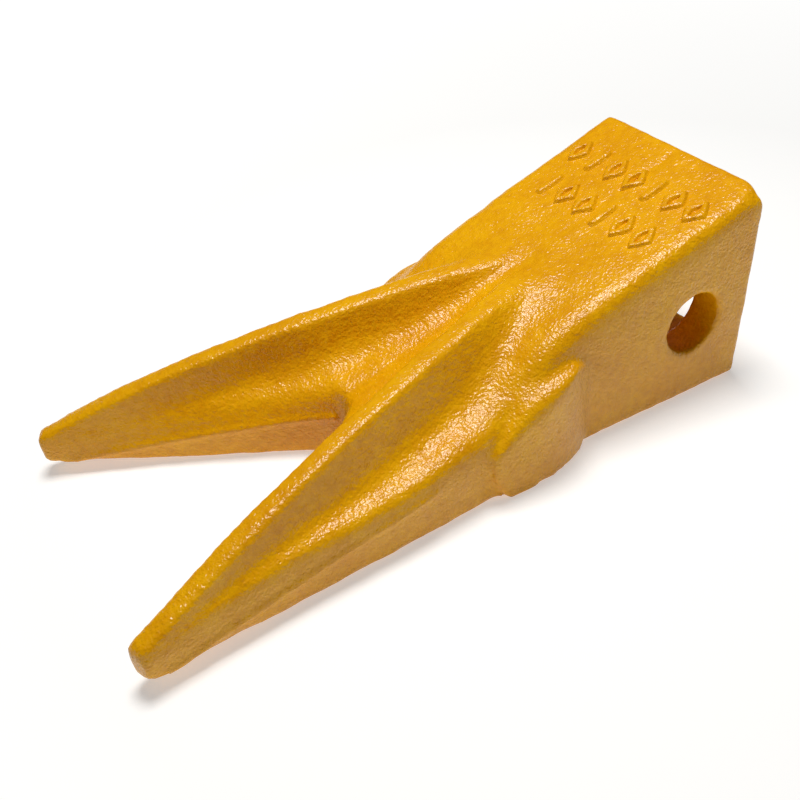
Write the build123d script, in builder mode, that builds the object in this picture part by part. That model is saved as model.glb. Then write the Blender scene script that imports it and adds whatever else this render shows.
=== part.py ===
"""Forked bucket tooth: a wedge-shaped socket box that drives two prongs.

The real tooth is one steel casting.  It is written here as its regions, each a
solid of its own, which meet face to face: the socket box with its pin bore, the
two prongs, the two side cheeks and the raised casting mark.

Frame: the origin is the centre of the pin bore.  +X points to the tips, +Y runs
along the bore and +Z is up.  Sizes are in millimetres.
"""

import os
from math import cos, radians, sin
from build123d import *

# Driving dimensions
bore_radius = 12.5         # hole for the retaining pin
floor_z = -35.0            # underside of the casting, flat on the ground
foot = 2.0                 # small chamfer along the bottom edges of the box
rear_x = -27.5             # mouth of the socket
mouth_top_z = 48.3         # top of the box at its mouth
split_x = 45.0             # where two crests start to rise out of the sloping top
split_z = 24.3
neck_x = 58.0              # where the crests are clear of the top
root_x = 96.0              # where the prongs leave the box
crotch_x = 128.0           # where the gap between the prongs opens
tip_x = 231.5              # blunt ends of the prongs
tip_skew = 16.0            # degrees that a tip is turned, square to its own prong

mouth_size = (60.0, 60.0)  # socket width and height at its mouth
nose_size = (54.0, 18.0)   # socket width and height at its blind end
mouth_centre_z = 6.5
nose_x = 72.0
nose_centre_z = -14.0

cheek_face_y = 53.5        # outer face of a side cheek
cheek_depth = 12.0
cheek_rear_x = 56.0
cheek_top = (65.0, 4.0)    # highest point of its outline, as x and z
cheek_shoulder = (92.5, -12.0)
cheek_toe = (95.5, floor_z)

mark_relief = 1.3          # height of the casting mark above the box
mark_length = 12.5         # height of one shape, along the box
mark_lozenge = 9.0         # width of an open lozenge
mark_bar = 2.8             # width of a bar
mark_hole = 0.45           # size of a lozenge's hole, as a share of the lozenge
mark_pitch = 11.0
mark_rows = (              # distance from the mouth, shapes in the row: lozenges and bars
    (24.0, "LBLLBLL"),
    (44.5, "BLLBLL"),
)

os.makedirs("parts", exist_ok=True)


def section_face(x, points, middle_y=0.0, skew=0.0):
    """Flat face through (y, z) points, standing across the X axis at x, or turned about its own middle."""
    across = Plane(
        origin=(x, middle_y, 0),
        x_dir=(-sin(radians(skew)), cos(radians(skew)), 0),
        z_dir=(cos(radians(skew)), sin(radians(skew)), 0),
    )
    with BuildSketch(across) as sketch:
        with BuildLine():
            Polyline([(y - middle_y, z) for y, z in points], close=True)
        make_face()
    return sketch.sketch.faces()[0]


def box_section(x, side_y, shoulder_z, shoulder, ridge=()):
    """Full section of the box at x: flat foot, sides and shoulders, with a flat or a ridged top."""
    left = [(side_y - foot, floor_z), (side_y, floor_z + foot), (side_y, shoulder_z), shoulder]
    left.extend(ridge)
    right = [(-y, z) for y, z in reversed(left) if y > 0]
    return section_face(x, left + right)


def ridge_points(flute, crest_y, crest_width, crest_z, hollow, valley_z):
    """Left half of a ridged top, from the outer flute over the crest to the valley on the middle plane."""
    return [
        flute,
        (crest_y + crest_width / 2, crest_z),
        (crest_y - crest_width / 2, crest_z),
        hollow,
        (0.0, valley_z),
    ]


def prong_section(
    x, inner_y, side_y, foot_z, shoulder_z, shoulder, flute, crest, crest_width, hollow, lip_z, skew=0.0
):
    """Closed section of the left prong at x: outer face, outer flute, crest, inner flute, inner face."""
    crest_y, crest_z = crest
    points = [
        (inner_y, foot_z),
        (side_y, foot_z),
        (side_y, shoulder_z),
        shoulder,
        flute,
        (crest_y + crest_width / 2, crest_z),
        (crest_y - crest_width / 2, crest_z),
        hollow,
        (inner_y, lip_z),
    ]
    return section_face(x, points, crest_y, skew)


# Socket box: a flat-topped wedge, a front length whose top grows two crests, the socket and the bore
flat_sections = [
    box_section(rear_x, 44.5, 43.8, (40.0, mouth_top_z)),
    box_section(split_x, 44.5, 20.0, (40.0, split_z)),
]
crested_sections = [
    box_section(split_x, 44.5, 20, (40, split_z), ridge_points((28, 24.1), 10.5, 8, 24.5, (4, 24.2), 24.1)),
    box_section(neck_x, 44.5, 14.0, (39.5, 19.4), ridge_points((25, 18.8), 9.6, 8, 23.0, (3.0, 20.0), 19.8)),
    box_section(78.0, 46.5, 1.0, (42.0, 6.5), ridge_points((28.5, 9.4), 15.4, 8, 21.0, (5.5, 11.7), 11.2)),
    box_section(root_x, 50.5, -7.0, (46.5, -3.0), ridge_points((33.3, 1.5), 20.7, 8, 18.0, (9.0, 5.3), 4.5)),
]
with BuildPart() as socket_box:
    loft(sections=flat_sections, ruled=True)
    loft(sections=crested_sections, ruled=True)
    with BuildSketch(Plane(origin=(rear_x, 0, mouth_centre_z), x_dir=(0, 1, 0), z_dir=(1, 0, 0))) as mouth:
        RectangleRounded(*mouth_size, 8.0)
    with BuildSketch(Plane(origin=(nose_x, 0, nose_centre_z), x_dir=(0, 1, 0), z_dir=(1, 0, 0))) as nose:
        RectangleRounded(*nose_size, 8.0)
    loft(sections=[mouth.sketch.faces()[0], nose.sketch.faces()[0]], ruled=True, mode=Mode.SUBTRACT)
    Cylinder(bore_radius, 120.0, rotation=(90, 0, 0), mode=Mode.SUBTRACT)
socket_box.part.label = "socket_box"


# Prongs: the left one is lofted, the right one is its mirror image
prong_sections = [
    prong_section(root_x, 0, 50.5, floor_z, -7, (46.5, -3), (33.3, 1.5), (20.7, 18), 8, (9, 5.3), 4.5),
    prong_section(crotch_x, 0, 54, floor_z, -13.5, (50.5, -9.5), (40.3, -6), (30, 12.9), 8, (16, -3), -9),
    prong_section(147, 14.5, 55.2, floor_z, -15, (52, -11), (45, -8), (35.5, 9), 8, (27, -6), -14),
    prong_section(175, 31, 57.2, floor_z, -15, (54, -12.5), (51, -9.5), (43.7, 2.2), 8, (37.5, -9), -19),
    prong_section(203, 44.5, 59.7, -33, -17, (58, -14.5), (56.5, -12.5), (51.8, -6), 7.5, (46.5, -13), -22),
    prong_section(
        tip_x, 55, 63.5, -30, -21, (63.3, -20), (63, -19), (59.4, -17.2), 6, (55.5, -18.8), -22, tip_skew
    ),
]
with BuildPart() as prong_left:
    loft(sections=prong_sections, ruled=True)
prong_left.part.label = "prong_left"

with BuildPart() as prong_right:
    add(prong_left.part)
    mirror(about=Plane.XZ, mode=Mode.REPLACE)
prong_right.part.label = "prong_right"


# Side cheeks: a round-fronted pad on each flank, cut back to the box and the prong
with BuildPart() as cheek_left:
    with BuildSketch(Plane(origin=(0, cheek_face_y, 0), x_dir=(1, 0, 0), z_dir=(0, -1, 0))) as pad:
        with BuildLine():
            Line((cheek_rear_x, floor_z), (cheek_rear_x, -2.0))
            ThreePointArc((cheek_rear_x, -2.0), (58.5, 2.7), cheek_top)
            ThreePointArc(cheek_top, (81.0, -1.0), cheek_shoulder)
            ThreePointArc(cheek_shoulder, (97.0, -24.0), cheek_toe)
            Line(cheek_toe, (cheek_rear_x, floor_z))
        make_face()
    extrude(amount=cheek_depth)
    add(socket_box.part, mode=Mode.SUBTRACT)
    add(prong_left.part, mode=Mode.SUBTRACT)
cheek_left.part.label = "cheek_left"

with BuildPart() as cheek_right:
    add(cheek_left.part)
    mirror(about=Plane.XZ, mode=Mode.REPLACE)
    add(socket_box.part, mode=Mode.SUBTRACT)
cheek_right.part.label = "cheek_right"


def lozenge(share=1.0, mode=Mode.ADD):
    """Adds a lozenge to the sketch, or cuts one from it, at a share of the full size."""
    half_width, half_length = share * mark_lozenge / 2, share * mark_length / 2
    Polygon((half_width, 0), (0, half_length), (-half_width, 0), (0, -half_length), mode=mode)


# Casting mark: two rows of plain raised lozenges and bars on the sloping top, near the mouth
top_run = split_x - rear_x
top_fall = mouth_top_z - split_z
top_plane = Plane(origin=(rear_x, 0, mouth_top_z), x_dir=(0, 1, 0), z_dir=(top_fall, 0, top_run))
with BuildPart() as cast_mark:
    with BuildSketch(top_plane):
        for distance, shapes in mark_rows:
            for place, shape in enumerate(shapes):
                with Locations(((place - (len(shapes) - 1) / 2) * mark_pitch, -distance)):
                    if shape == "L":
                        lozenge()
                        lozenge(mark_hole, Mode.SUBTRACT)
                    else:
                        RectangleRounded(mark_bar, mark_length, 1.2)
    extrude(amount=mark_relief)
cast_mark.part.label = "cast_mark"

for region in (socket_box, prong_left, prong_right, cheek_left, cheek_right, cast_mark):
    export_step(region.part, f"parts/{region.part.label}.step")
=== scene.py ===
# %% [markdown]
# # A forked bucket tooth
# A bucket tooth is the part of a digger that wears out first. This one is a single steel casting: a hollow
# box that slips over the nose of an adapter, a cross bore for the pin, and two ridged prongs that dig. It
# was poured in a sand mould, knocked out, ground a little at the parting line and coated in yellow enamel.
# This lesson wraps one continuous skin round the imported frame, paints it, and puts it on a white table.

# %% Load the frame
import math

import bpy
import numpy as np
from mathutils import Matrix, Vector


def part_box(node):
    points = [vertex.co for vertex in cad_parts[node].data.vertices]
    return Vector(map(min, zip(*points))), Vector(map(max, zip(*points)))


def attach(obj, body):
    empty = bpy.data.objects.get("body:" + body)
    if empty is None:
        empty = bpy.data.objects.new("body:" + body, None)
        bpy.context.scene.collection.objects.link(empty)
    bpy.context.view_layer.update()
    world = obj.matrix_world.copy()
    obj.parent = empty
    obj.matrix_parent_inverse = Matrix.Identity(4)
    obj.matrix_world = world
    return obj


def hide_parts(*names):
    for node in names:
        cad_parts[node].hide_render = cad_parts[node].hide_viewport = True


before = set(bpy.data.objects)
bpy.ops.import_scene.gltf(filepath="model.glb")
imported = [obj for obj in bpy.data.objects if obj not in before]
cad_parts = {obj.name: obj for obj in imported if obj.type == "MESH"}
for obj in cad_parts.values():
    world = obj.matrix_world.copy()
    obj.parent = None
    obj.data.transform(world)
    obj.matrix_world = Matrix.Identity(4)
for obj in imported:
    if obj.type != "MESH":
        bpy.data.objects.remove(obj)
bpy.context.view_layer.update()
MM = 0.001
print("CAD nodes:", sorted(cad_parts))

# %% [markdown]
# ## The sizes that everything hangs on
# The frame gives the ends of the box and of the prongs. Lengths below are in millimetres, because a foundry
# drawing is in millimetres, and are turned to metres where a mesh is made. The origin is the middle of the
# pin bore, +X points to the tips, +Y to the tooth's left side, and +Z is up.

# %% Sizes from the frame
socket_low, socket_high = (np.array(corner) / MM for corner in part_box("socket_box"))
prong_high = np.array(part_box("prong_left")[1]) / MM
rear_x, floor_z, top_z = socket_low[0], socket_low[2], socket_high[2]
tip_skew_reach = 2.3  # how far a skewed end reaches past its own middle
tip_x = prong_high[0] - tip_skew_reach
tip_round = 2.2  # length of the worn rounding of a tip
bore_radius = 12.5
crotch_x = 127.5  # where the gap between the prongs opens
top_slope = 0.331  # fall of the box's top in each millimetre along it
print("mouth at", rear_x, "tips at", tip_x, "floor at", floor_z)

# %% [markdown]
# ## The half casting
# Left and right are mirror images, so only the left half is described. The real pattern maker works from
# cross-sections, and so does this cell: each row is one section, and each column is one feature of it, such
# as the crest or the flute beside it. Between rows the features move on smooth curves. Bezier lofts or
# sculpting could make such a body too, but a table of sections keeps every edge where it can be read and
# moved.

# %% Sections of the left half
columns = ("x foot_z outer_foot outer_part lip_y lip_z flute_y flute_z crest_y crest_half crest_z "
           "hollow_y hollow_z inner_lip_shift inner_lip_z corner").split()
stations = np.array([
    (-27.5, -35.0, 44.0, 44.5, 44.5, 48.3, 34.0, 48.3, 18.0, 6.0, 48.3, 6.0, 48.3, 0.0, 48.3, 8.0),
    (10.0, -35.0, 44.2, 44.7, 44.5, 35.9, 32.0, 35.9, 15.0, 5.0, 35.9, 5.0, 35.9, 0.0, 35.9, 9.5),
    (45.0, -35.0, 44.2, 44.7, 44.5, 24.3, 28.0, 24.3, 10.5, 4.0, 25.0, 3.5, 24.3, 0.0, 24.3, 11.0),
    (58.0, -35.0, 44.5, 44.7, 44.5, 19.6, 25.0, 19.0, 9.6, 4.0, 23.2, 3.0, 20.0, 0.0, 19.6, 11.0),
    (70.0, -35.0, 46.5, 46.5, 45.0, 12.8, 26.5, 13.5, 13.1, 4.0, 22.0, 4.0, 15.0, 0.0, 14.6, 10.0),
    (78.0, -35.0, 48.0, 48.0, 45.5, 5.8, 28.5, 9.4, 15.4, 4.0, 21.2, 5.5, 11.5, 0.0, 11.0, 8.5),
    (86.0, -35.0, 49.5, 49.0, 46.3, 0.2, 30.5, 5.2, 17.7, 4.0, 20.2, 7.2, 8.5, 0.0, 8.0, 8.0),
    (96.0, -35.0, 51.0, 50.8, 49.3, -3.8, 33.3, 0.4, 20.7, 4.0, 18.2, 10.0, 5.0, 0.0, 4.5, 7.0),
    (110.0, -35.0, 52.3, 52.5, 51.5, -5.3, 36.8, -3.8, 24.8, 4.0, 16.0, 14.0, 0.2, 0.0, -0.5, 6.5),
    (127.5, -35.0, 53.2, 53.9, 53.2, -9.2, 40.3, -7.1, 29.8, 4.0, 12.9, 19.5, -3.6, 2.5, -6.5, 6.5),
    (140.0, -35.0, 53.9, 54.8, 54.2, -10.8, 43.3, -8.8, 33.5, 4.0, 10.4, 25.0, -5.8, 4.0, -9.5, 6.0),
    (160.0, -35.0, 54.9, 56.2, 55.7, -11.6, 47.3, -10.2, 39.3, 4.0, 6.0, 33.0, -8.8, 4.5, -12.5, 5.5),
    (180.0, -34.6, 56.2, 57.6, 57.1, -12.2, 51.6, -11.3, 45.1, 4.0, 0.8, 39.8, -11.0, 3.5, -15.5, 5.0),
    (200.0, -33.0, 57.8, 59.4, 58.9, -14.2, 56.0, -13.3, 50.9, 4.0, -5.3, 46.2, -13.1, 2.0, -18.0, 3.5),
    (215.0, -31.2, 59.6, 61.0, 60.8, -16.8, 59.2, -14.8, 55.3, 4.0, -10.8, 51.2, -15.5, 0.6, -20.0, 2.5),
    (232.0, -28.9, 62.0, 63.6, 63.6, -20.5, 63.2, -18.6, 59.6, 3.4, -17.0, 55.8, -18.8, 0.0, -21.5, 2.0),
])


def eased(x, table):
    """Columns of a table at x: cubic Hermite curves through its rows. The slope at a row is the mean of the
    slopes on both sides, weighted as numpy's gradient does."""
    knots, values = table[:, 0], table[:, 1:]
    slopes = np.gradient(values, knots, axis=0)
    i = np.clip(np.searchsorted(knots, x, side="right") - 1, 0, len(knots) - 2)
    step = (knots[i + 1] - knots[i])[:, None]
    t = (x[:, None] - knots[i][:, None]) / step
    return (
        (2 * t**3 - 3 * t**2 + 1) * values[i]
        + (t**3 - 2 * t**2 + t) * step * slopes[i]
        + (3 * t**2 - 2 * t**3) * values[i + 1]
        + (t**3 - t**2) * step * slopes[i + 1]
    )


print(len(stations), "sections of", len(columns) - 1, "features")

# %% [markdown]
# Two lines run through all sections. The mould's two halves met on a plane through the bore, so the faces
# lean away from it by a degree or so, which lets the pattern be drawn out of the sand. The gap between the
# prongs is a hyperbola: round in the throat, where a sharp corner would crack, and nearly straight further
# out.

# %% Parting plane and fork
parting_fall = 0.13
throat_spread, gap_slope, gap_bend = 6.0, 0.665, 0.0014


def parting_z(x):
    """Height of the parting plane: a straight line that falls by parting_fall in each millimetre."""
    return -parting_fall * x


def gap_half_width(x):
    """Half the gap at x: the root of p squared plus 6p, times the slope, less a slight bend that grows with p
    squared. p is the way past the throat."""
    past = np.maximum(x - crotch_x, 0)
    return gap_slope * np.sqrt(past**2 + throat_spread * past) - gap_bend * past**2


def rounded_outline(corners, reach, samples):
    """Closed outlines with rounded corners: each corner is a quadratic Bezier curve that starts and ends
    `reach` along its two legs. corners is (sections, corners, 2) and reach is (sections, corners)."""
    before, after = np.roll(corners, 1, axis=1) - corners, np.roll(corners, -1, axis=1) - corners
    length_before, length_after = np.linalg.norm(before, axis=2), np.linalg.norm(after, axis=2)
    share_before = np.minimum(reach / np.maximum(length_before, 1e-6), 0.5)[..., None]
    share_after = np.minimum(reach / np.maximum(length_after, 1e-6), 0.5)[..., None]
    start, end = corners + before * share_before, corners + after * share_after
    t = np.linspace(0, 1, samples)[None, None, :, None]
    curve = (1 - t)**2 * start[:, :, None] + 2 * t * (1 - t) * corners[:, :, None] + t**2 * end[:, :, None]
    return curve.reshape(len(corners), -1, 2)


print("gap at the tips:", round(2 * float(gap_half_width(np.array(tip_x)))), "mm")

# %% [markdown]
# Ten corners make one section: foot, outer face, lip, flute, crest, hollow and inner face. The section is
# carried along X from the mouth to the tip. Towards the tip it is sheared, because the blunt end was squared
# to its own prong and not to the tooth, and the last 2 mm are rounded like a worn edge.

# %% Half casting as a grid
foot_reach, part_reach, hollow_reach, crest_reach = 2.5, 1.5, 7.0, 1.6  # roundings of the corners
inner_lip_reach, inner_part_reach = 5.0, 1.0
halves_overlap = 1.0  # how far each half goes past the middle plane
seam_clear = 2.0  # the parting line stays this far from the foot and from the lip
inner_lean_from, inner_lean, inner_lean_most = 150.0, 0.02, 1.5  # the inner face's foot leans outwards
shear_from, shear_length, shear_most = 140.0, 70.0, 0.29
tip_inset, tip_end = 0.40, 0.96


def half_casting():
    """Grid of the left half: a closed outline in Y and Z, carried along X. The shear eases in by 3t^2 - 2t^3
    and moves a point back by that share of its distance outside the crest. At the tip the rings shrink along
    a quarter of an ellipse, which stops a little short of its end."""
    # Sections crowd together at the tip and just past the throat, where the shape turns fastest.
    x = np.unique(np.concatenate([
        np.linspace(rear_x, tip_x, 200),
        np.linspace(tip_x - tip_round, tip_x, 9),
        crotch_x + np.linspace(0, 3.5, 24)**2,
        [crotch_x - 0.01],
    ]))
    at = dict(zip(columns[1:], eased(x, stations).T))
    one, open_fork = np.ones_like(x), x >= crotch_x
    gap = gap_half_width(x)
    seam_z = np.maximum(parting_z(x), at["foot_z"] + seam_clear)
    inner_part = np.where(open_fork, gap, -halves_overlap)
    inner_lip = np.where(open_fork, gap + at["inner_lip_shift"], -halves_overlap)
    lean = np.clip((x - inner_lean_from) * inner_lean, 0, inner_lean_most)
    inner_foot = np.where(open_fork, gap + lean, -halves_overlap)
    corners = np.stack([np.stack(pair, axis=1) for pair in (
        (inner_foot, at["foot_z"]),
        (at["outer_foot"], at["foot_z"]),
        (at["outer_part"], np.minimum(seam_z, at["lip_z"] - seam_clear)),
        (at["lip_y"], at["lip_z"]),
        (at["flute_y"], at["flute_z"]),
        (at["crest_y"] + at["crest_half"], at["crest_z"]),
        (at["crest_y"] - at["crest_half"], at["crest_z"]),
        (at["hollow_y"], at["hollow_z"]),
        (inner_lip, at["inner_lip_z"]),
        (inner_part, np.minimum(seam_z, at["inner_lip_z"] - seam_clear)),
    )], axis=1)
    reach = np.stack([
        foot_reach * one, foot_reach * one, part_reach * one, at["corner"], hollow_reach * one,
        crest_reach * one, crest_reach * one, hollow_reach * one, inner_lip_reach * one,
        inner_part_reach * one,
    ], axis=1)
    outline = rounded_outline(corners, reach, samples=9)
    along = np.clip((x - shear_from) / shear_length, 0, 1)
    shear = shear_most * along**2 * (3 - 2 * along)
    sheared_x = x[:, None] - shear[:, None] * (outline[..., 0] - at["crest_y"][:, None])
    grid = np.concatenate([sheared_x[..., None], outline], axis=2)
    middle = grid.mean(axis=1, keepdims=True)
    to_end = np.clip((x - (tip_x - tip_round)) / tip_round, 0, 1)[:, None, None]
    keep = 1 - tip_inset * (1 - np.sqrt(1 - tip_end * to_end**2))
    grid[..., 1:] = (middle + (grid - middle) * keep)[..., 1:]
    return grid


def mesh_object(name, points, faces):
    """Object in the scene from points in millimetres and faces."""
    mesh = bpy.data.meshes.new(name)
    mesh.from_pydata((points * MM).tolist(), [], faces)
    made = bpy.data.objects.new(name, mesh)
    bpy.context.scene.collection.objects.link(made)
    return made


def closed_tube(name, grid):
    """Mesh object from a grid of closed rings: quads between rings and a fan of triangles over each end."""
    rings, around, _ = grid.shape
    points = np.concatenate([grid.reshape(-1, 3), grid[0].mean(0)[None], grid[-1].mean(0)[None]])
    i, j = np.meshgrid(np.arange(rings - 1), np.arange(around), indexing="ij")
    k = (j + 1) % around
    quads = np.stack([i * around + j, i * around + k, (i + 1) * around + k, (i + 1) * around + j], -1)
    j = np.arange(around)
    k, last_ring = (j + 1) % around, (rings - 1) * around
    first = np.stack([k, j, np.full(around, rings * around)], axis=1)
    last = np.stack([last_ring + j, last_ring + k, np.full(around, rings * around + 1)], axis=1)
    faces = quads.reshape(-1, 4).tolist() + first.tolist() + last.tolist()
    return mesh_object(name, points, faces)


def mirrored(grid):
    """The same grid on the right side. Its rings turn the other way, so that faces still point outwards."""
    return (grid * np.array([1, -1, 1]))[:, ::-1]


left_half = half_casting()
solids = [closed_tube("half_left", left_half), closed_tube("half_right", mirrored(left_half))]
print("half casting grid:", left_half.shape[:2])

# %% [markdown]
# ## The cheeks
# On each flank sits a thick pad, where the tooth shoulders against the adapter's ears and takes side load.
# Its top is a narrow shelf that grows out of the body, its rim rolls over to a nearly flat face, and towards
# the back it tapers into the flank. It is drawn as two closed outlines, the shelf's and the face's, and one
# is blended into the other along a quarter ellipse.

# %% Cheek as a grid
shelf_points = np.array([(54, -37), (49.5, -20), (49.5, -2), (57, 6.4), (65, 5.8), (73, 4.2), (80.7, 1.0),
                         (86.6, -3.2), (91.5, -7.0), (96, -9.8), (98.8, -14), (99.4, -19.5), (98.5, -26),
                         (96.2, -32), (92.5, -37), (74, -37)])
face_points = np.array([(62, -34.5), (54, -20), (54, -6), (60.5, 0.8), (66.5, -0.8), (73, -3.0),
                        (80.7, -5.2), (86.6, -7.2), (91.5, -8.9), (94.8, -11.2), (97.2, -14.8),
                        (97.7, -19.5), (96.8, -25.5), (94.4, -30.8), (90.0, -34.8), (76, -35)])
cheek_root_y, cheek_skirt_y, cheek_shelf_y, cheek_face_y = 35.0, 43.5, 48.5, 53.8
root_lift, skirt_lift = 6.0, 2.2  # the outline is raised inside the body, so that the shelf slopes out of it
taper_y, taper_from_x, taper_length = 44.4, 80.0, 31.0  # the back falls to taper_y, over this length


def smooth_loop(points, samples):
    """Closed smooth curve through points: the Hermite curves of `eased`, wrapped round past both ends."""
    wrapped = np.concatenate([points[-3:], points, points[:4]])
    knots = np.arange(-3, len(points) + 4)[:, None]
    t = np.linspace(0, len(points), samples, endpoint=False)
    return eased(t, np.concatenate([knots, wrapped], axis=1))


def cheek_pad():
    """Grid of the left cheek: rings in X and Z that go out in Y. The rim's inset is 1 - cos and its way out
    is sin of the same quarter turn. Behind taper_from_x, Y is held under a parabola, the tapered back."""
    shelf, face = smooth_loop(shelf_points, samples=160), smooth_loop(face_points, samples=160)
    centre = face.mean(0)
    rings = [
        np.insert(shelf + [0, root_lift], 1, cheek_root_y, axis=1),
        np.insert(shelf + [0, skirt_lift], 1, cheek_skirt_y, axis=1),
    ]
    for turn in np.linspace(0, np.pi / 2, 12):
        inset = shelf + (face - shelf) * (1 - np.cos(turn))
        out_y = cheek_shelf_y + (cheek_face_y - cheek_shelf_y) * np.sin(turn)
        rings.append(np.insert(inset, 1, out_y, axis=1))
    for keep in (0.8, 0.5, 0.2):
        rings.append(np.insert(centre + (face - centre) * keep, 1, cheek_face_y, axis=1))
    rings = np.array(rings)
    rings[..., 2] = np.maximum(rings[..., 2], floor_z)
    behind = np.clip((taper_from_x - rings[..., 0]) / taper_length, 0, 1)
    rings[..., 1] = np.minimum(rings[..., 1], taper_y + (cheek_face_y - taper_y) * (1 - behind**2))
    return rings


pad = cheek_pad()
solids += [closed_tube("cheek_l", pad), closed_tube("cheek_r", mirrored(pad))]
print("cheek grid:", pad.shape[:2])

# %% [markdown]
# ## The casting mark
# A foundry puts raised characters on the box. Here they are two rows of plain lozenges and bars, which say
# nothing. Their flanks slope and flare into the top, because a mark must leave the sand without tearing it.
# They could be a height map on the skin, but they are kept as meshes of their own, sunk a little into the
# top, so that they stay crisp.

# %% Lozenges and bars on the sloping top
# A flank from foot to crown: how far out from the middle of a stroke, in strokes, and how high, in reliefs.
flank = np.array([(0.95, -0.7), (0.74, 0.0), (0.60, 0.22), (0.50, 0.55), (0.40, 0.84), (0.26, 0.97),
                  (0.0, 1.0)])
mark_relief, mark_length, mark_pitch = 1.25, 12.5, 11.0
lozenge_width, lozenge_stroke, bar_width = 9.0, 3.1, 3.2
lozenge_power, bar_power = 1.75, 0.6
mark_rows = ((24.0, "LBLLBLL"), (44.5, "BLLBLL"))  # way from the mouth, then lozenges and bars


def on_top(along, across, height):
    """Points on the sloping top: along it from the mouth, across it, and square to it."""
    tilt = math.atan(top_slope)
    x = rear_x + along * math.cos(tilt) + height * math.sin(tilt)
    z = top_z - along * math.sin(tilt) + height * math.cos(tilt)
    return np.stack([x, across, z], axis=-1)


def raised_lozenge(along, across):
    """Grid of an open lozenge: the flank and its mirror image, carried round a superellipse whose cosine and
    sine are raised to 1.75, where 2 would be straight sides. It closes both ways."""
    turn = np.linspace(0, 2 * np.pi, 81)[:-1, None]
    round_u, round_v = (np.sign(wave) * np.abs(wave)**lozenge_power for wave in (np.cos(turn), np.sin(turn)))
    profile = np.concatenate([flank, flank[-2::-1] * [-1, 1]])
    u = round_u * ((mark_length - lozenge_stroke) / 2 + profile[:, 0] * lozenge_stroke) + along
    v = round_v * ((lozenge_width - lozenge_stroke) / 2 + profile[:, 0] * lozenge_stroke) + across
    return on_top(u, v, profile[:, 1] * mark_relief + 0 * turn)


def raised_bar(along, across):
    """Grid of a bar: rings round a superellipse, its cosine and sine raised to 0.6, which is nearly a
    rectangle. They draw in as they rise up the flank."""
    turn = np.linspace(0, 2 * np.pi, 81)[:-1]
    round_u, round_v = (np.sign(wave) * np.abs(wave)**bar_power for wave in (np.cos(turn), np.sin(turn)))
    inset = (0.5 - flank[:-1, :1]) * bar_width
    u = round_u * (mark_length / 2 - inset) + along
    v = round_v * (bar_width / 2 - inset) + across
    return on_top(u, v, flank[:-1, 1:] * mark_relief + 0 * turn)


def closed_ring(name, grid):
    """Mesh object from a grid that closes on itself both ways."""
    rings, around, _ = grid.shape
    i, j = np.meshgrid(np.arange(rings), np.arange(around), indexing="ij")
    n, k = (i + 1) % rings, (j + 1) % around
    quads = np.stack([i * around + j, n * around + j, n * around + k, i * around + k], -1).reshape(-1, 4)
    return mesh_object(name, grid.reshape(-1, 3), quads.tolist())


marks = []
for along, shapes in mark_rows:
    for place, shape in enumerate(shapes):
        across = (place - (len(shapes) - 1) / 2) * mark_pitch
        if shape == "L":
            marks.append(closed_ring("lozenge", raised_lozenge(along, across)))
        else:
            marks.append(closed_tube("bar", raised_bar(along, across)))
print("marks:", len(marks))

# %% [markdown]
# ## One skin
# Metal that was poured in one go has no seams where its features meet, only soft fillets. A voxel remesh
# gives just that: it fills the overlapping solids with cells of about a millimetre and skins the outside, so
# halves and cheeks become one body. The socket and the bore are cut from it afterwards, as the real ones are
# left by a sand core and a round core, and a second remesh softens their edges.

# %% Socket and bore cutters
socket_end_x, socket_corner, end_corner = 70.0, 8.0, 6.0
core_overhang, core_round_end = 5.0, 2.0  # the core starts outside the mouth, and its end draws in
bore_half_length = 60.0


def core_section(x, width, height, centre_z, corner):
    """One ring of the socket core at x: a rectangle with rounded corners."""
    y, z = width / 2, height / 2
    corners = np.array([[(y, -z), (y, z), (-y, z), (-y, -z)]])
    outline = rounded_outline(corners, np.full((1, 4), corner), samples=8)[0] + [0, centre_z]
    return np.insert(outline, 0, x, axis=1)


socket_core = np.array([
    core_section(rear_x - core_overhang, width=60.3, height=62.1, centre_z=7.5, corner=socket_corner),
    core_section(rear_x, width=60.0, height=60.0, centre_z=6.5, corner=socket_corner),
    core_section(socket_end_x, width=54.2, height=18.8, centre_z=-13.6, corner=socket_corner),
    core_section(socket_end_x + core_round_end, width=50.0, height=14.0, centre_z=-14.0, corner=end_corner),
])
turns = np.linspace(0, 2 * np.pi, 96, endpoint=False)
bore_core = np.array([
    np.stack([bore_radius * np.cos(turns), np.full_like(turns, y), bore_radius * np.sin(turns)], axis=1)
    for y in (bore_half_length, -bore_half_length)
])
print("socket depth:", socket_end_x + core_round_end - rear_x, "mm")

# %% Join, cut and skin
voxel = 1.12


def settle(thing, kind, **settings):
    """Gives an object the mesh that one modifier makes of it."""
    modifier = thing.modifiers.new(kind, kind)
    for key, value in settings.items():
        setattr(modifier, key, value)
    result = bpy.data.meshes.new_from_object(thing.evaluated_get(bpy.context.evaluated_depsgraph_get()))
    thing.modifiers.clear()
    thing.data = result


def points_of(mesh):
    """The mesh's points in millimetres, one to a row."""
    flat = np.zeros(len(mesh.vertices) * 3)
    mesh.vertices.foreach_get("co", flat)
    return flat.reshape(-1, 3) / MM


def joined(name, parts):
    """One object from several closed solids: their points and faces put end to end."""
    points, faces, start = [], [], 0
    for part in parts:
        points.append(points_of(part.data))
        faces += [[start + v for v in face.vertices] for face in part.data.polygons]
        start += len(points[-1])
        bpy.data.objects.remove(part)
    return mesh_object(name, np.concatenate(points), faces)


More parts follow.
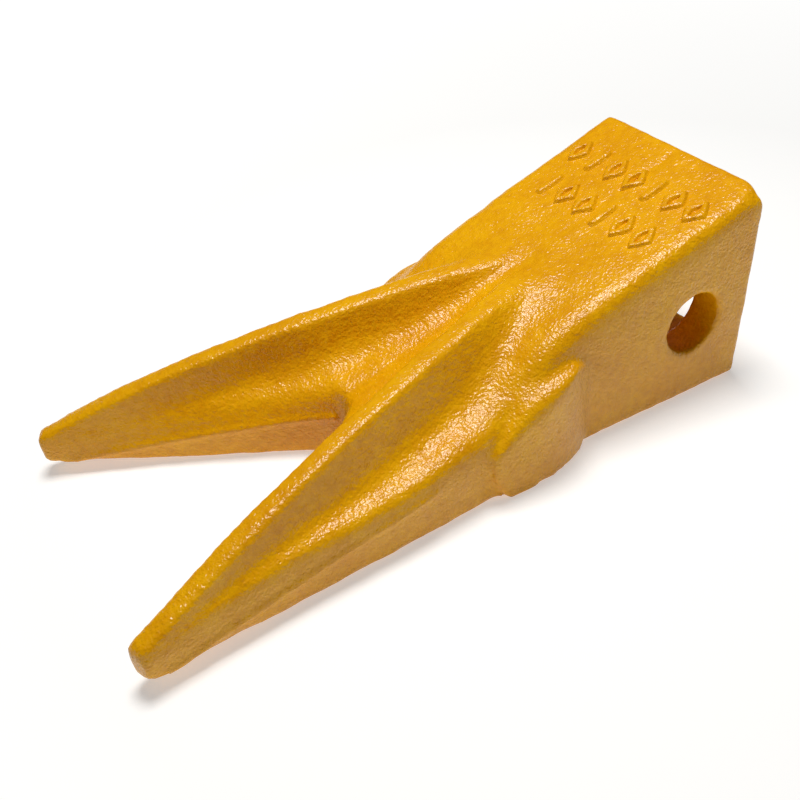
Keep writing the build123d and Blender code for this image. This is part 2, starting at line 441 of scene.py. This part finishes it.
casting = joined("tooth_casting", solids)
settle(casting, "REMESH", mode="VOXEL", voxel_size=voxel * MM)
for cutter in (closed_tube("socket_core", socket_core), closed_tube("bore_core", bore_core)):
    settle(casting, "BOOLEAN", operation="DIFFERENCE", object=cutter, solver="EXACT")
    bpy.data.objects.remove(cutter)
settle(casting, "REMESH", mode="VOXEL", voxel_size=voxel * MM)
print("skin faces:", len(casting.data.polygons))

# %% [markdown]
# ## What the sand left behind
# Sand grains, gas and the pattern's own wear leave a cast face a little uneven, with a thin raised line
# where the mould's halves met. The skin is first relaxed, which rounds its edges as shot-blasting does. Then
# every point moves along its normal by a sum of waves, by the flash line and by the crease round the front
# of each cheek. The valley between the crests is relaxed further, because it is a wide fillet. One corner at
# the mouth was knocked, and no point is left below the floor. A displacement texture could do some of this,
# but whole arrays of points let each effect be kept to its own place.

# %% How far each point moves
wave_bands, wave_seed = ((40.0, 0.10, 14), (19.0, 0.07, 22), (9.0, 0.045, 40), (5.0, 0.03, 60)), 11
flash_height, flash_width, flash_from_x, flash_upright = 0.9, 1.2, 120.0, 0.75
crease_points = np.array([(91.5, -8.5), (95.4, -10.0), (97.9, -14.2), (98.4, -21), (96.6, -28),
                          (93.0, -34.5)])
crease_depth, crease_width, crease_samples, crease_start = 1.7, 1.7, 60, 0.2
crease_outside_y, crease_from_x, crease_to_x = 45.0, 85.0, 108.0
knock_at, knock_reach = np.array([rear_x, 44.0, top_z]), np.array([8.0, 6.0, 5.0])
knock_depth, knock_direction = 2.6, np.array([0.75, -0.45, -0.6])


def relaxed(points, edges, rounds, share):
    """Laplacian smoothing: in each round a point moves by `share` towards the mean of its neighbours. The
    share is one number, or a column with one number for each point."""
    ends = np.concatenate([edges, edges[:, ::-1]])
    count = np.bincount(ends[:, 0], minlength=len(points))[:, None]
    for _ in range(rounds):
        total = [np.bincount(ends[:, 0], points[ends[:, 1], axis], len(points)) for axis in range(3)]
        points = points + share * (np.stack(total, axis=1) / count - points)
    return points


def cast_unevenness(points):
    """How far each point stands proud, in millimetres: plane waves in random directions, in four bands.
    A band is its wavelength, its height and its number of waves."""
    random = np.random.default_rng(wave_seed)
    height = np.zeros(len(points))
    for length, high, count in wave_bands:
        direction = random.normal(size=(count, 3))
        direction /= np.linalg.norm(direction, axis=1, keepdims=True)
        waves = 2 * np.pi / (length * random.uniform(0.75, 1.3, count))
        phase = random.uniform(0, 2 * np.pi, count)
        ripple = np.sin(points @ (direction * waves[:, None]).T + phase)
        height += high * ripple.sum(axis=1) * math.sqrt(2 / count)
    return height


def flash_line(points, normals):
    """Height of the flash: a bell curve about the parting plane, on the upright faces of the prongs."""
    off = (points[:, 2] - parting_z(points[:, 0])) / flash_width
    upright = np.abs(normals[:, 1]) > flash_upright
    return flash_height * np.exp(-off**2) * upright * (points[:, 0] > flash_from_x)


def cheek_crease(points):
    """Depth of the crease round the front of each cheek: a bell curve about a curve in X and Z, which starts
    shallow at the curve's upper end and deepens in a straight line towards its lower end."""
    knots = np.arange(len(crease_points))
    path = eased(np.linspace(0, knots[-1], crease_samples), np.insert(crease_points, 0, knots, axis=1))
    depth = np.zeros(len(points))
    x, y = points[:, 0], points[:, 1]
    near = (np.abs(y) > crease_outside_y) & (x > crease_from_x) & (x < crease_to_x)
    off = np.linalg.norm(points[near][:, None, [0, 2]] - path, axis=2)
    bell = np.exp(-(off / crease_width)**2) * np.linspace(crease_start, 1, crease_samples)
    depth[near] = crease_depth * bell.max(axis=1)
    return depth


def knocked_corner(points):
    """Push of the knocked corner: a bell curve round the left end of the mouth's top edge."""
    away = (points - knock_at) / knock_reach
    return knock_depth * np.exp(-(away**2).sum(axis=1))[:, None] * knock_direction


print("waves:", sum(count for _, _, count in wave_bands))

# %% Relax, then let the surface waver
skin_rounds, skin_share = 2, 0.5
valley_rounds, valley_share, valley_width = 14, 0.6, 3.5
valley_from_x, valley_to_x, valley_above_z = 60.0, 133.0, -25.0


def move_points(mesh, points):
    """Puts points in millimetres back into the mesh."""
    mesh.vertices.foreach_set("co", (points * MM).ravel())
    mesh.update()


def shade_smooth(mesh):
    """Lets light run over the mesh's faces without a break."""
    mesh.polygons.foreach_set("use_smooth", np.ones(len(mesh.polygons), bool))
    mesh.update()


skin = casting.data
edges = np.zeros(len(skin.edges) * 2, int)
skin.edges.foreach_get("vertices", edges)
edges = edges.reshape(-1, 2)
points = relaxed(points_of(skin), edges, skin_rounds, skin_share)
x, y, z = points.T
in_valley = (x > valley_from_x) * (x < valley_to_x) * (z > valley_above_z)
valley = np.exp(-(y / valley_width)**2) * in_valley
points = relaxed(points, edges, valley_rounds, valley_share * valley[:, None])
move_points(skin, points)
normals = np.zeros(len(skin.vertices) * 3)
skin.vertices.foreach_get("normal", normals)
normals = normals.reshape(-1, 3)
proud = cast_unevenness(points) + flash_line(points, normals) - cheek_crease(points)
points = points + knocked_corner(points) + normals * proud[:, None]
points[:, 2] = np.maximum(points[:, 2], floor_z)
move_points(skin, points)
shade_smooth(skin)
print("skin triangles:", sum(len(face.vertices) - 2 for face in skin.polygons))

# %% The marks ride on the same waves
# They are lifted by the waves of the skin under them, so that none floats or sinks.
raised_marks = joined("raised_lozenges_and_bars", marks)
mark_points = points_of(raised_marks.data)
mark_points[:, 2] += cast_unevenness(mark_points)
move_points(raised_marks.data, mark_points)
shade_smooth(raised_marks.data)
print("mark faces:", len(raised_marks.data.polygons))

# %% [markdown]
# ## The paint
# The finish is a thick yellow alkyd enamel, dipped or sprayed over raw sand-cast steel. It flows over the
# grains without hiding them, so the eye gets a warm, saturated yellow with broken, sugary highlights: a
# glossy coat on a pebbled ground. It is a little browner in spots where it is thin. An image could carry all
# this, but a few noise nodes scaled in millimetres stay sharp from every side.

# %% Small tools for materials
def linear(colour):
    """Linear RGBA of an sRGB hex colour."""
    parts = np.array([int(colour[i:i + 2], 16) / 255 for i in (1, 3, 5)])
    return (*np.where(parts <= 0.04045, parts / 12.92, ((parts + 0.055) / 1.055)**2.4), 1.0)


def add_node(tree, kind, settings=None, **links):
    """Node of a kind with its settings. links are its inputs, by name, or by number as _number: each is a
    value or another node's output."""
    node = tree.nodes.new(kind)
    for key, value in (settings or {}).items():
        setattr(node, key, value)
    for key, value in links.items():
        socket = node.inputs[int(key[1:])] if key.startswith("_") else node.inputs[key.replace("_", " ")]
        if isinstance(value, bpy.types.NodeSocket):
            tree.links.new(value, socket)
        else:
            socket.default_value = value
    return node


def new_material(name):
    """Material with nodes, and its tree and shader."""
    material = bpy.data.materials.new(name)
    material.use_nodes = True
    return material, material.node_tree, material.node_tree.nodes["Principled BSDF"]


per_mm = 1 / MM
print("a noise scale of one lump in 10 mm:", per_mm / 10)

# %% Yellow enamel on a sand casting
# To the eye: even golden yellow, slightly patchy over 4 cm, browner where it is thin, glossy but never
# mirror-flat.
patch_size, thin_spot_size = 38.0, 3.2
enamel, tree, shader = new_material("yellow_enamel_on_sand_cast_steel")
place = add_node(tree, "ShaderNodeTexCoord").outputs["Object"]
patches = add_node(tree, "ShaderNodeTexNoise", Vector=place, Scale=per_mm / patch_size,
                   Detail=4.0, Roughness=0.6)
coat = add_node(tree, "ShaderNodeValToRGB", Fac=patches.outputs["Fac"])
coat.color_ramp.elements[0].position, coat.color_ramp.elements[0].color = 0.34, linear("#e8a200")
coat.color_ramp.elements[1].position, coat.color_ramp.elements[1].color = 0.66, linear("#f4b300")
thin = add_node(tree, "ShaderNodeTexNoise", Vector=place, Scale=per_mm / thin_spot_size,
                Detail=3.0, Roughness=0.6)
thinness = add_node(tree, "ShaderNodeMapRange", Value=thin.outputs["Fac"],
                    From_Min=0.35, From_Max=0.7, To_Max=0.3)
colour = add_node(tree, "ShaderNodeMix", {"data_type": "RGBA", "blend_type": "MULTIPLY"},
                  _0=thinness.outputs[0], _6=coat.outputs["Color"], _7=linear("#d0a060"))
# Sand grains are 0.3 to 0.5 mm. Drawn so, they would be too fine to show, so they are drawn coarser: lumps
# of 1.3 mm with a finer grain of 0.7 mm.
lump_size, lump_height, grain_size, grain_height = 1.3, 0.42, 0.7, 0.10
lumps = add_node(tree, "ShaderNodeTexNoise", Vector=place, Scale=per_mm / lump_size,
                 Detail=1.0, Roughness=0.5)
grains = add_node(tree, "ShaderNodeTexNoise", Vector=place, Scale=per_mm / grain_size, Detail=0.0)
lump_bump = add_node(tree, "ShaderNodeBump", Height=lumps.outputs["Fac"], Distance=lump_height * MM)
grain_bump = add_node(tree, "ShaderNodeBump", Height=grains.outputs["Fac"], Distance=grain_height * MM,
                      Normal=lump_bump.outputs["Normal"])
tree.links.new(colour.outputs[2], shader.inputs["Base Color"])
tree.links.new(grain_bump.outputs["Normal"], shader.inputs["Normal"])
shader.inputs["Roughness"].default_value = 0.26
shader.inputs["Specular IOR Level"].default_value = 0.36
shader.inputs["IOR"].default_value = 1.5
for painted in (casting, raised_marks):
    painted.data.materials.clear()
    painted.data.materials.append(enamel)
print("enamel nodes:", len(tree.nodes))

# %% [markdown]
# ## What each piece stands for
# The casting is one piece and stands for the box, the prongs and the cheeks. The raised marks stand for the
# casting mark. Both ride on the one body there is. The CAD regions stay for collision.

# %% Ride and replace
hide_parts("socket_box", "prong_left", "prong_right", "cheek_left", "cheek_right")
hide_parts("cast_mark")
for painted in (casting, raised_marks):
    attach(painted, "root")
print("casting and marks ride on root")

# %% [markdown]
# ## The white table
# The tooth lies on a matt white light table. The table glows a little, more so further out, which lifts the
# shadow and throws light back on the flanks. The colours are shown with the Standard view, because the
# default view would grey the white and pale the yellow.

# %% Floor
# To the eye: plain soft white, with no gloss and no edge in sight.
half_side, gap_below = 3000.0, 0.05
glow_near, glow_far = 0.25, 0.9  # metres from the bore
table_z = floor_z - gap_below
floor = mesh_object("white_table", np.array([
    (-half_side, -half_side, table_z), (half_side, -half_side, table_z),
    (half_side, half_side, table_z), (-half_side, half_side, table_z)]), [(0, 1, 2, 3)])
table, table_tree, table_shader = new_material("matt_white_acrylic_light_table")
spot = add_node(table_tree, "ShaderNodeTexCoord").outputs["Object"]
away = add_node(table_tree, "ShaderNodeVectorMath", {"operation": "LENGTH"}, _0=spot)
glow = add_node(table_tree, "ShaderNodeMapRange", Value=away.outputs["Value"],
                From_Min=glow_near, From_Max=glow_far, To_Min=0.43, To_Max=1.0)
table_tree.links.new(glow.outputs[0], table_shader.inputs["Emission Strength"])
table_shader.inputs["Emission Color"].default_value = linear("#ffffff")
table_shader.inputs["Base Color"].default_value = linear("#d8d7d4")
table_shader.inputs["Roughness"].default_value = 0.9
floor.data.materials.append(table)
bpy.context.scene.view_settings.view_transform = "Standard"
print("table at", table_z, "mm")

# %% [markdown]
# ## Light and camera
# One soft box hangs nearly overhead, a little to the far side, so that the crests, lips and shelf catch it
# and the flanks fall into soft shade. The room gives the tooth only a little light, so that the enamel stays
# deep, but behind the table it shows as plain white. The camera looks down on the left prong from the front,
# at about 39 degrees, with a slight roll.

# %% Lights
def soft_box(name, place, target, size, power):
    """Square area light that faces a target. Places and the size are in millimetres, the power in watts."""
    light = bpy.data.lights.new(name, "AREA")
    light.energy, light.size = power, size * MM
    lamp = bpy.data.objects.new(name, light)
    lamp.location = Vector(place) * MM
    lamp.rotation_mode = "QUATERNION"
    lamp.rotation_quaternion = (Vector(place) - Vector(target)).to_track_quat("Z", "Y")
    bpy.context.scene.collection.objects.link(lamp)


room_light = 0.05
soft_box("overhead_soft_box", place=(60, -75, 800), target=(80, 0, 0), size=260, power=6.3)
room = bpy.data.worlds.new("white_room")
room.use_nodes = True
ray = add_node(room.node_tree, "ShaderNodeLightPath")
brightness = add_node(room.node_tree, "ShaderNodeMapRange", Value=ray.outputs["Is Camera Ray"],
                      To_Min=room_light, To_Max=1.0)
backdrop = room.node_tree.nodes["Background"]
backdrop.inputs["Color"].default_value = linear("#fffefb")
room.node_tree.links.new(brightness.outputs[0], backdrop.inputs["Strength"])
bpy.context.scene.world = room
print("one soft box and a room at", room_light)


# %% Camera
def camera_at(position, azimuth, elevation, roll, lens):
    """Camera at a place in millimetres, on the azimuth's side, looking down by the elevation and rolled.
    Its axes are: back = away from the object, right = level, above = back x right, turned by the roll."""
    side, up, turn = map(math.radians, (180 - azimuth, elevation, roll))
    back = np.array([math.sin(side) * math.cos(up), math.cos(side) * math.cos(up), math.sin(up)])
    level = np.array([-math.cos(side), math.sin(side), 0.0])
    upright = np.cross(back, level)
    right = math.cos(turn) * level + math.sin(turn) * upright
    above = math.cos(turn) * upright - math.sin(turn) * level
    camera = bpy.data.objects.new("camera", bpy.data.cameras.new("camera"))
    camera.data.lens, camera.data.sensor_width, camera.data.clip_start = lens, 36, 0.01
    rows = [(right[i], above[i], back[i], position[i] * MM) for i in range(3)]
    camera.matrix_world = Matrix(rows + [(0, 0, 0, 1)])
    bpy.context.scene.collection.objects.link(camera)
    bpy.context.scene.camera = camera


camera_at((233.9, 254.1, 210.9), azimuth=153.07, elevation=38.79, roll=-4.91, lens=42.72)
print("camera lens:", bpy.context.scene.camera.data.lens)
